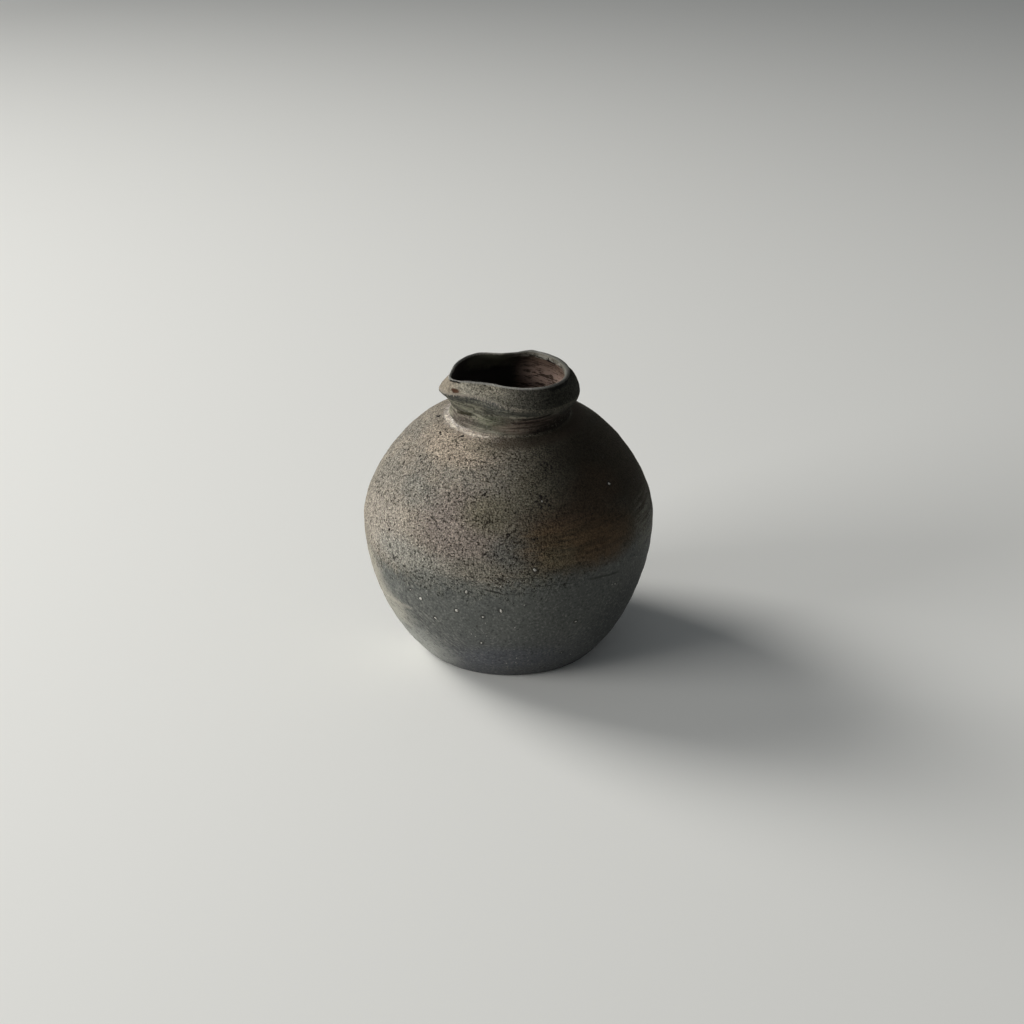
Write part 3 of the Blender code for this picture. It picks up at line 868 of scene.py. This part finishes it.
# The kiln cinders
# Four crumbs of burnt ash and charcoal that fell on the shoulder and stuck, black and rough, with a little
# melted glass on them.
cinder, burnt, cinder_shader = new_finish("cinder")
there = put(burnt, "ShaderNodeTexCoord", {}).outputs["Object"]
char = clouds(burnt, there, 1300.0, 4.0, 0.7)
sooty = mingle(burnt, ramp(burnt, char, 0.42, 0.66), (0.007, 0.006, 0.005), (0.034, 0.027, 0.021))
burnt.links.new(sooty, cinder_shader.inputs["Base Color"])
burnt.links.new(ramp(burnt, char, 0.40, 0.70, 0.80, 0.45), cinder_shader.inputs["Roughness"])
cinder_shader.inputs["Specular IOR Level"].default_value = 0.12
char_bumps = put(burnt, "ShaderNodeBump", {"Height": char, "Distance": 0.0003, "Strength": 1.0})
burnt.links.new(char_bumps.outputs[0], cinder_shader.inputs["Normal"])

for number in range(1, 5):
    cinder_piece = crumb(f"stuck_cinder_{number:02d}", f"kiln_cinder_{number:02d}", shrink=0.98, sink=0.0001,
                         roughness=0.9, finish=cinder)


# The strewn specks
# Black specks and clots of burnt ash lie on the crust, and pale quartz sand shows through the wiped clay;
# one pale speck on a cinder clot is a painted glint.
# Each sort is one crumb, modelled once, copied, turned and half sunk in the wall.
speck_cloud_fineness = 95.0
thinnest_cloud, thickest_cloud = -0.35, 0.45
full_turn = 6.283
speck_dents, speck_dent_fineness = 0.35, 1.7
speck_stretch, speck_flatness = 1.7, 0.6


def scatter(count, seed, angles, heights, sizes):
    """Random places for specks, as (angle, height, size), thicker in some clouds than in others."""
    chance = random.Random(seed)
    found = []
    while len(found) < count:
        angle = chance.uniform(*angles)
        level = chance.uniform(*heights)
        cloud = noise.noise(on_wall(angle, level) * speck_cloud_fineness)
        if cloud > chance.uniform(thinnest_cloud, thickest_cloud):
            found.append((angle, level, chance.uniform(*sizes)))
    return found


def strew(name, places, seed, sink, finish):
    """Sets copies of one rough crumb at places on the wall, and joins them into one piece."""
    chance = random.Random(seed)
    bpy.ops.object.select_all(action="DESELECT")
    bpy.ops.mesh.primitive_ico_sphere_add(subdivisions=1, radius=1.0)
    model = bpy.context.object
    for point in model.data.vertices:
        point.co *= 1.0 + speck_dents * noise.noise(point.co * speck_dent_fineness)
    crumbs = []
    for angle, level, size in places:
        spot = on_wall(angle, level)
        normal = wall_tree.find_nearest(spot)[1]
        piece = bpy.data.objects.new(name, model.data.copy())
        bpy.context.scene.collection.objects.link(piece)
        spin = Vector((0.0, 0.0, 1.0)).rotation_difference(normal).to_matrix().to_4x4()
        twist = Matrix.Rotation(chance.uniform(0.0, full_turn), 4, "Z")
        shape = Matrix.Diagonal((size * chance.uniform(1.0, speck_stretch), size, size * speck_flatness, 1.0))
        piece.data.transform(Matrix.Translation(spot - normal * size * sink) @ spin @ twist @ shape)
        crumbs.append(piece)
    bpy.data.objects.remove(model)
    take_up(crumbs[0])
    for piece in crumbs[1:]:
        piece.select_set(True)
    bpy.ops.object.join()
    strewn = bpy.context.object
    strewn.name = name
    keep_in_box(strewn, box_margin)
    shade_smooth(strewn)
    strewn.data.materials.clear()
    strewn.data.materials.append(finish)
    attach(strewn, "root")
    return strewn


neck_clots = [(-176.7, 0.0955, 0.00085), (-178.5, 0.0953, 0.00060), (-151.1, 0.0944, 0.00070),
              (-149.0, 0.0943, 0.00050), (-131.2, 0.0957, 0.00080), (-123.0, 0.0939, 0.00045)]
left_clots = [(-149.0, 0.0874, 0.00070), (-146.8, 0.0868, 0.00050), (-144.9, 0.0865, 0.00040),
              (-165.9, 0.0754, 0.00055), (-162.6, 0.0700, 0.00065), (-144.3, 0.0624, 0.00080),
              (-170.0, 0.0858, 0.00055), (-162.7, 0.0864, 0.00055), (-171.0, 0.0861, 0.00045),
              (-138.0, 0.0888, 0.00045), (-137.0, 0.0897, 0.00040), (172.0, 0.0886, 0.00060),
              (174.0, 0.0868, 0.00050)]
front_clots = [(-102.0, 0.0825, 0.00065), (-100.4, 0.0819, 0.00045), (-80.3, 0.0686, 0.00070),
               (-78.9, 0.0688, 0.00050), (-69.0, 0.0504, 0.00035), (-103.0, 0.0320, 0.00035),
               (-22.7, 0.0657, 0.00070), (-16.6, 0.0743, 0.00070)]
cinder_clots = [(-71.2, 0.0905, 0.00075), (-67.4, 0.0901, 0.00080), (-69.4, 0.0888, 0.00060),
                (-65.8, 0.0893, 0.00080), (-77.6, 0.0803, 0.00070), (-75.2, 0.0818, 0.00085),
                (-72.6, 0.0816, 0.00065), (-75.6, 0.0786, 0.00065), (-72.4, 0.0803, 0.00075),
                (-73.6, 0.0793, 0.00060), (-76.3, 0.0794, 0.00050)]
# A painted glint: one pale speck on the cinder clot, where light glints.
glint_in_clot = (-74.9, 0.0802, 0.00032)
all_round = (-180.0, 180.0)
fine_specks = scatter(260, seed=11, angles=all_round, heights=(0.053, 0.0955), sizes=(0.00018, 0.00034))
black_specks = strew("burnt_specks", neck_clots + left_clots + front_clots + cinder_clots + fine_specks,
                     seed=5, sink=0.32, finish=cinder)
fine_sand = scatter(90, seed=23, angles=all_round, heights=(0.006, 0.056), sizes=(0.00014, 0.00026))
pale_specks = strew("quartz_sand_and_glint", [glint_in_clot] + fine_sand, seed=6, sink=0.25, finish=feldspar)
